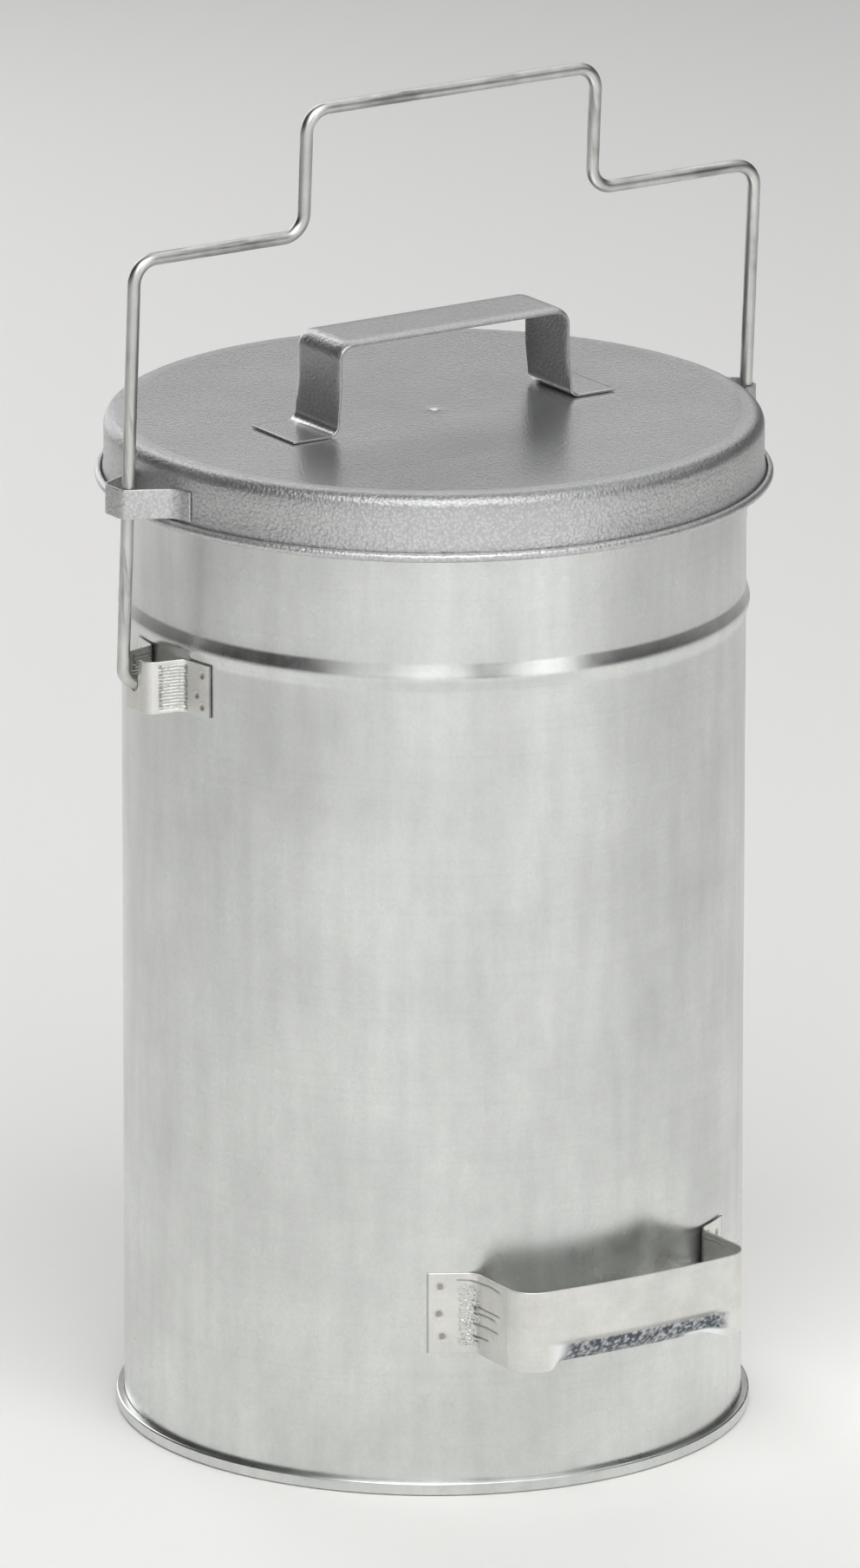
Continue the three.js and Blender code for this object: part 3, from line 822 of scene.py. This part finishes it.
make_keeper("left_keeper", "lid_keeper_left", 90)
make_keeper("right_keeper", "lid_keeper_right", -90)

# %% [markdown]
# ## The lid's handle
# The lid is lifted by a broad strap bent up from the lid. Its long edges are turned in a little
# all along the grip and the risers, which makes it stiff and kind to the hand, and they flatten
# out toward the feet, where the strap is bent flat onto the lid.

# %% Lid handle
GRIP_LENGTH, GRIP_HEIGHT, GRIP_WIDTH = 106.8, 36.5, 30.0
GRIP_BEND, FOOT_BEND, FOOT_LENGTH = 6.5, 4, 20
TURNED_IN = 1.2    # how far the long edges are turned in


def make_lid_handle():
    half, foot = (GRIP_LENGTH - STRAP) / 2, LID_TOP + GAP + STRAP / 2
    top = LID_TOP + GRIP_HEIGHT - STRAP / 2
    right = [(half, top, GRIP_BEND), (half, foot, FOOT_BEND), (half + FOOT_LENGTH, foot)]
    route = rounded([(-x, z, *bend) for x, z, *bend in right[::-1]] + right)
    points, faces, *_ = strap(paced(route, 0.9), -GRIP_WIDTH / 2, GRIP_WIDTH / 2, 48, STRAP)
    flat, across = points[:, :2], points[:, 2]
    corner = half - GRIP_BEND
    nearest = np.clip(flat, (-corner, foot), (corner, top - GRIP_BEND))
    inward = nearest - flat
    inward /= np.maximum(np.linalg.norm(inward, axis=1), 1e-6)[:, None]
    lift = smoothstep(flat[:, 1], foot + 3, foot + 18)
    flat = flat + inward * (TURNED_IN * lift * (np.abs(across) / (GRIP_WIDTH / 2)) ** 9)[:, None]
    placed = np.column_stack([flat[:, 0], -across, flat[:, 1]])
    raised = smoothstep(flat[:, 1], foot + 1, foot + 6)
    return make_piece("lid_grip", placed, faces, grey_hammer, "lid_handle", "lid",
                      marks={"darkened": 0.6 * raised, "settled": 1 - 0.7 * raised})


make_lid_handle()

# %% [markdown]
# ## The bail
# One length of bright zinc-coated wire makes the whole bail: a hook in each ear, two legs, two low
# shoulders and a raised middle for the hand. It is a circle carried along the bent middle line. A
# curve object with a round bevel would look the same; a mesh keeps the bends exactly on the
# measured route.

# %% Bail wire
HAND_HALF, HAND_TOP = 65.5, 217.7    # the raised middle, above the pivot
LOW_SHOULDER = 168.5
BAIL_BEND, HOOK_BEND = 9, 7.5
BAIL_LEAN = 3.3                      # degrees forward, where the keepers stop it
WIRE_SIDES = 28


def bail_route():
    right = [(HAND_HALF, HAND_TOP, BAIL_BEND), (HAND_HALF, LOW_SHOULDER, BAIL_BEND),
             (BAIL_AT, LOW_SHOULDER, BAIL_BEND), (BAIL_AT, 0, HOOK_BEND), (EAR_FACE - 9, 0)]
    return rounded([(-corner[0], *corner[1:]) for corner in right[::-1]] + right, 12)


def wire_rings(route):
    """Rings of points round the wire, with two smaller ones that blunt each end."""
    points, normals = np.array(route), side_normals(route)
    turn = np.linspace(0, 2 * math.pi, WIRE_SIDES, endpoint=False)
    places = [(0, 1, 0.35), (0, 1, 0.8)] + [(i, 0, 1) for i in range(len(points))]
    places += [(-1, 1, 0.8), (-1, 1, 0.35)]
    rings = []
    for i, end, size in places:
        out = normals[i] / np.linalg.norm(normals[i])
        along = np.array([out[1], -out[0]]) * (1 if i else -1)
        middle = points[i] + along * end * WIRE * 0.25 * (1.15 - size)
        flat = middle + out * (WIRE * size * np.cos(turn))[:, None]
        rings.append(np.column_stack([flat[:, 0], WIRE * size * np.sin(turn), flat[:, 1]]))
    return rings


wire_zinc = zinc("zinc_wire", (0.60, 0.60, 0.58), 0.36, 0.08, run=0.10, scratches=0.4,
                 clouds=90.0, streak=(30, 500, 30))
rings = wire_rings(paced(bail_route(), 1.6))
around_wire = range(len(rings[0]))
last = (len(rings) - 1) * len(rings[0])
bail_faces = [face[::-1] for face in band_faces(len(rings), len(rings[0]))]
bail_faces += [tuple(around_wire), tuple(last + k for k in around_wire)[::-1]]
lean = np.array(Matrix.Rotation(math.radians(BAIL_LEAN), 3, "X"))
bail_points = np.vstack(rings) @ lean.T + np.array([0, 0, PIVOT])
make_piece("bail_wire", bail_points, bail_faces, wire_zinc, "bail", "bail")

# %% [markdown]
# ## The wire inside the rim
# The rim is rolled round a stiffening wire that can't be seen. Its measured piece stays as it is
# and only takes the wire's finish.

# %% Rim wire
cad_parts["rim_wire"].data.materials.clear()
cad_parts["rim_wire"].data.materials.append(wire_zinc)
print("rim wire keeps its measured shape")

# %% [markdown]
# ## The floor
# The pail stands on a wide sheet of pale paper. A painted pool of light makes the paper's colour
# brightest round the pail, fading to a soft grey further off. The pool is painted into the paper's
# colour, so the shadow and the reflections of the floor in the metal stay real. Beyond the lamps'
# reach, from 2 m on, the paper passes into a plain dim glow, for the camera and for reflections,
# or it would end in darkness.

# %% Floor
FAR_GREY = (0.30, 0.298, 0.295, 1)
PAPER_RADIUS, PAPER_LEVEL, PAPER_SIDES = 30, -0.0002, 64    # in metres
FADE_END = 3.0                  # where the paper's colour stops changing
FAR_FROM, FAR_TO = 2.0, 4.5     # where the paper passes into the far grey


def looking(nodes):
    """1 for rays that show a picture of things: straight from the camera or off shiny metal."""
    rays = add(nodes, "ShaderNodeLightPath").outputs
    return calc(nodes, "MAXIMUM", rays["Is Camera Ray"], rays["Is Glossy Ray"])


def paper():
    material, nodes = new_material("pale_paper")
    place = add(nodes, "ShaderNodeTexCoord").outputs["Object"]
    away = add(nodes, "ShaderNodeVectorMath", {0: place}, operation="LENGTH").outputs["Value"]
    # Painted pool of light: the paper's colour is brightest near the pail and fades with distance.
    ramp = add(nodes, "ShaderNodeValToRGB", {"Fac": calc(nodes, "DIVIDE", away, FADE_END)})
    stops = ramp.color_ramp.elements
    stops[0].position, stops[0].color = 0.03, (0.96, 0.955, 0.935, 1)
    stops[1].position, stops[1].color = 0.80, (0.80, 0.795, 0.79, 1)
    middle = stops.new(0.28)
    middle.color = (0.90, 0.895, 0.88, 1)
    tooth = cloud(nodes, place, 900.0, 2.0)
    bump = add(nodes, "ShaderNodeBump", {"Strength": 0.05, "Distance": 0.0005, "Height": tooth})
    shader = add(nodes, "ShaderNodeBsdfPrincipled", {
        "Base Color": ramp.outputs[0], "Roughness": 0.9, "Normal": bump.outputs[0],
    })
    far = add(nodes, "ShaderNodeMapRange", {
        "Value": away, "From Min": FAR_FROM, "From Max": FAR_TO,
    }, interpolation_type="SMOOTHSTEP").outputs[0]
    glow = add(nodes, "ShaderNodeEmission", {"Color": FAR_GREY, "Strength": 1.0})
    mixed = add(nodes, "ShaderNodeMixShader", {
        0: product(nodes, far, looking(nodes)), 1: shader.outputs[0], 2: glow.outputs[0],
    })
    add(nodes, "ShaderNodeOutputMaterial", {"Surface": mixed.outputs[0]})
    return material


floor_mesh = bpy.data.meshes.new("floor")
corners = [(PAPER_RADIUS * math.cos(a), PAPER_RADIUS * math.sin(a), PAPER_LEVEL)
           for a in np.linspace(0, 2 * math.pi, PAPER_SIDES, endpoint=False)]
floor_mesh.from_pydata(corners, [], [tuple(range(PAPER_SIDES))])
floor_mesh.materials.append(paper())
floor = bpy.data.objects.new("floor", floor_mesh)
bpy.context.scene.collection.objects.link(floor)
print("floor laid")

# %% [markdown]
# ## Studio light
# The pail was lit by large soft lights: wide sheets of cloth near the ceiling, a far one behind,
# and upright boxes round the sides. A satin metal shows its lights as soft upright bands, so where
# the boxes stand decides where the wall is bright, while the sheets are so wide that the lid's
# shoulder shows no hard line. Each light was rendered alone and the powers were worked out from
# the brightness of the wall in the picture. Angles are measured from the camera's side of the pail.

# %% Soft boxes
CAMERA_SIDE = -33.0    # degrees that the camera stands to the left of the tilting handle


def around(angle, distance, height):
    """A place seen at an angle to the right of the camera's side of the pail."""
    turn = math.radians(CAMERA_SIDE + angle)
    return Vector((distance * math.sin(turn), -distance * math.cos(turn), height))


def soft_box(name, angle, distance, height, size, power):
    """A soft light round the pail, turned to a point AIM metres above the origin."""
    light = bpy.data.lights.new(name, "AREA")
    light.shape, light.size, light.size_y, light.energy = "RECTANGLE", *size, power
    box = bpy.data.objects.new(name, light)
    box.location = around(angle, distance, height)
    box.rotation_euler = (Vector((0, 0, AIM)) - box.location).to_track_quat("-Z", "Y").to_euler()
    box.visible_camera = False
    bpy.context.scene.collection.objects.link(box)
    print(f"{name}: {size[0]} by {size[1]} m, {power} W")
    return box


AIM = 0.2
CEILING, UPRIGHT = (3.6, 3.0), (1.0, 1.9)
soft_box("front_ceiling_sheet", 0, 2.2, 3.2, CEILING, 99.5)
soft_box("back_ceiling_sheet", 180, 2.2, 3.2, CEILING, 33.4)
soft_box("right_ceiling_sheet", 90, 2.2, 3.2, CEILING, 25.0)
soft_box("far_sheet", 180, 4.5, 2.6, (4.0, 2.4), 17.9)
soft_box("right_box", 40, 2.4, 1.0, UPRIGHT, 10.0)
soft_box("camera_box", 0, 2.4, 1.0, UPRIGHT, 7.4)
soft_box("left_box", -25, 2.4, 1.0, UPRIGHT, 4.2)
soft_box("left_back_box", -150, 2.4, 1.0, UPRIGHT, 13.0)

# %% Room light
world = bpy.data.worlds.new("room")
bpy.context.scene.world = world
world.use_nodes = True
nodes = world.node_tree.nodes
nodes.clear()
direction = add(nodes, "ShaderNodeTexCoord").outputs["Generated"]
upward = add(nodes, "ShaderNodeSeparateXYZ", {0: direction}).outputs["Z"]
low = between(nodes, upward, 1.0, 0.0, 0.02, 0.12)
room = add(nodes, "ShaderNodeBackground", {"Color": (1, 1, 1, 1), "Strength": 0.01})
pale = add(nodes, "ShaderNodeBackground", {"Color": FAR_GREY, "Strength": 1.0})
mixed = add(nodes, "ShaderNodeMixShader", {
    0: product(nodes, low, looking(nodes)), 1: room.outputs[0], 2: pale.outputs[0],
})
add(nodes, "ShaderNodeOutputWorld", {"Surface": mixed.outputs[0]})
print("room light set")

# %% [markdown]
# ## The camera
# The photograph was taken with a long lens from far away, so the pail's upright sides stay almost
# parallel. The numbers come from matching the round edges of the model to those of the picture.

# %% Camera
CAMERA_STAND = Vector((-0.81, -6293.97, 2085.31))    # from the axis, before the turn to its side
LOOKS_DOWN, ROLLED = 16.275, 0.081                   # degrees
lens = bpy.data.cameras.new("long_lens")
lens.lens, lens.sensor_width, lens.sensor_fit = 390.63, 36.0, "AUTO"
lens.shift_x = -1.69 / 1808    # pixels over the picture's height
lens.clip_start, lens.clip_end = 0.1, 100
camera = bpy.data.objects.new("camera", lens)
turn = Matrix.Rotation(math.radians(CAMERA_SIDE), 4, "Z")
stand = turn @ CAMERA_STAND * MM + AXIS * MM
tilt = Matrix.Rotation(math.radians(90 - LOOKS_DOWN), 4, "X")
tilt = tilt @ Matrix.Rotation(math.radians(ROLLED), 4, "Z")
camera.matrix_world = Matrix.Translation(stand) @ turn @ tilt
bpy.context.scene.collection.objects.link(camera)
bpy.context.scene.camera = camera
bpy.context.scene.view_settings.view_transform = "Standard"
print("camera stands at", [round(v, 3) for v in stand])
